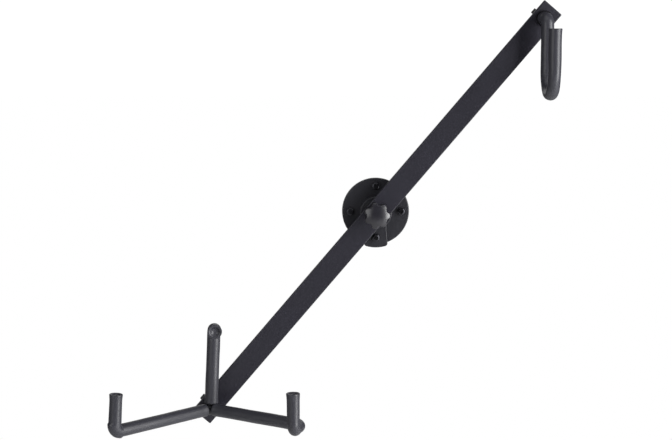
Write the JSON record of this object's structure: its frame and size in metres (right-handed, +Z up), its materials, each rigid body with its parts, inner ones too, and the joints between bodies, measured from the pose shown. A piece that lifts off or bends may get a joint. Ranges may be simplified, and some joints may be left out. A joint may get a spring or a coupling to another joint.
{
  "type": "slanted wall instrument hanger",
  "caption": "Wall hanger: a flat bar swivels on a round flange, with a padded J hook at its upper end and a padded three-pronged cradle at its lower end.",
  "frame": {"origin": "centre of the wall flange's back face", "axes": "+Y points into the wall, +Z is up and +X is to the right as seen from the room, so everything stands out towards -Y"},
  "size_m": [0.4965, 0.1649, 0.4799],
  "materials": {
    "powder_coat": "satin black powder coat",
    "bar_coat": "smooth satin black powder coat",
    "foam": "matt closed-cell foam",
    "knob": "polished phenolic",
    "wing_nut_plastic": "moulded nylon",
    "black_zinc": "black zinc",
    "bright_zinc": "zinc plated",
    "fibre": "friction washer",
    "brass": "turned"
  },
  "bodies": {
    "wall_mount": {"wall_flange": "powder_coat", "hub": "powder_coat", "flange_lug": "powder_coat", "wall_screws": "black_zinc", "lug_screw": "black_zinc", "pivot_stud": "bright_zinc", "hub_washer": "fibre"},
    "bar_body": {"bar": "bar_coat", "knob_washer": "black_zinc"},
    "knob_body": {"clamp_knob": "knob", "knob_insert": "brass"},
    "hook_body": {"hook_rod": "powder_coat", "hook_sleeve": "foam", "hook_front_washer": "black_zinc", "hook_rear_washer": "black_zinc"},
    "hook_nut_body": {"hook_wing_nut": "wing_nut_plastic"},
    "cradle_body": {"cradle_boss": "powder_coat", "left_arm": "powder_coat", "right_arm": "powder_coat", "post": "powder_coat", "left_arm_sleeve": "foam", "right_arm_sleeve": "foam", "post_sleeve": "foam", "cradle_front_washer": "black_zinc", "cradle_rear_washer": "black_zinc"},
    "cradle_nut_body": {"cradle_wing_nut": "wing_nut_plastic"}
  },
  "joints": [
    {"name": "bar_swivel", "type": "hinge", "parent": "wall_mount", "child": "bar_body", "pos_m": [0, -0.0186, 0], "axis": [0, -1, 0], "continuous": true},
    {"name": "knob_turn", "type": "hinge", "parent": "wall_mount", "child": "knob_body", "pos_m": [0, -0.0234, 0], "axis": [0, -1, 0], "range_deg": [0, 360]},
    {"name": "hook_swivel", "type": "hinge", "parent": "bar_body", "child": "hook_body", "pos_m": [0.18523, -0.0234, 0.21765], "axis": [0, -1, 0], "continuous": true},
    {"name": "hook_nut_turn", "type": "hinge", "parent": "hook_body", "child": "hook_nut_body", "pos_m": [0.18523, -0.0186, 0.21765], "axis": [0, 1, 0], "range_deg": [0, 360]},
    {"name": "cradle_swivel", "type": "hinge", "parent": "bar_body", "child": "cradle_body", "pos_m": [-0.18912, -0.0234, -0.22222], "axis": [0, -1, 0], "continuous": true},
    {"name": "cradle_nut_turn", "type": "hinge", "parent": "cradle_body", "child": "cradle_nut_body", "pos_m": [-0.18912, -0.0186, -0.22222], "axis": [0, 1, 0], "range_deg": [0, 360]}
  ]
}
